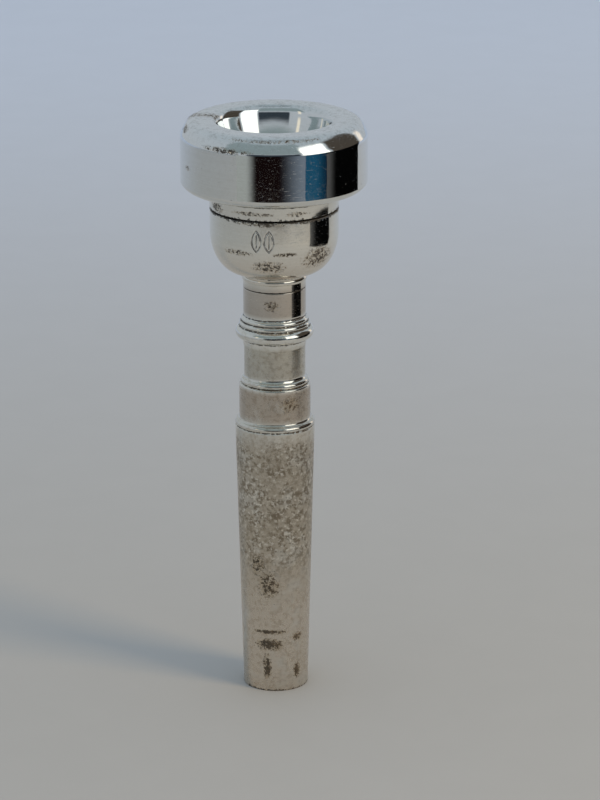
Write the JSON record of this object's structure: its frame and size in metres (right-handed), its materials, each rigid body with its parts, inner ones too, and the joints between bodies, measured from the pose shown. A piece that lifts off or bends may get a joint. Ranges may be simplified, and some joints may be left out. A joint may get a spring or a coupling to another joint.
{
  "type": "trumpet mouthpiece",
  "caption": "Cup mouthpiece for a trumpet: rounded rim, bowl and ringed tapered shank that unscrew from each other, with a bore from bowl to shank end.",
  "frame": {"origin": "on the axis, at the flat end of the shank, which the mouthpiece stands on", "axes": "+Z along the axis, from the shank's end up to the rim; the part is turned, so +X and +Y are free, and +Y is away from the side that carries the stamp"},
  "size_m": [0.0272, 0.0272, 0.087],
  "materials": {
    "shank_plate": "worn, freckled silver plate on brass",
    "cup_plate": "silver plate on brass, tarnished in patches",
    "rim_plate": "bright silver plate on brass",
    "seal": "matte black"
  },
  "bodies": {
    "backbore": {"backbore": "shank_plate"},
    "cup_seal": {"cup_o_ring": "seal"},
    "cup": {"cup": "cup_plate"},
    "rim_seal": {"rim_o_ring": "seal"},
    "rim": {"rim": "rim_plate"}
  },
  "joints": [
    {"name": "cup_rise", "type": "slide", "parent": "backbore", "child": "cup_seal", "axis": [0, 0, 1], "range_m": [0, 0.0048]},
    {"name": "cup_unscrew", "type": "hinge", "parent": "cup_seal", "child": "cup", "pos_m": [0, 0, 0.06195], "axis": [0, 0, 1], "range_deg": [0, 2160]},
    {"name": "rim_rise", "type": "slide", "parent": "cup", "child": "rim_seal", "axis": [0, 0, 1], "range_m": [0, 0.0048]},
    {"name": "rim_unscrew", "type": "hinge", "parent": "rim_seal", "child": "rim", "pos_m": [0, 0, 0.0739], "axis": [0, 0, 1], "range_deg": [0, 2160]}
  ],
  "couplings": [
    {"joint": "cup_unscrew", "follows": "cup_rise", "rad_per_m": 7854},
    {"joint": "rim_unscrew", "follows": "rim_rise", "rad_per_m": 7854}
  ]
}
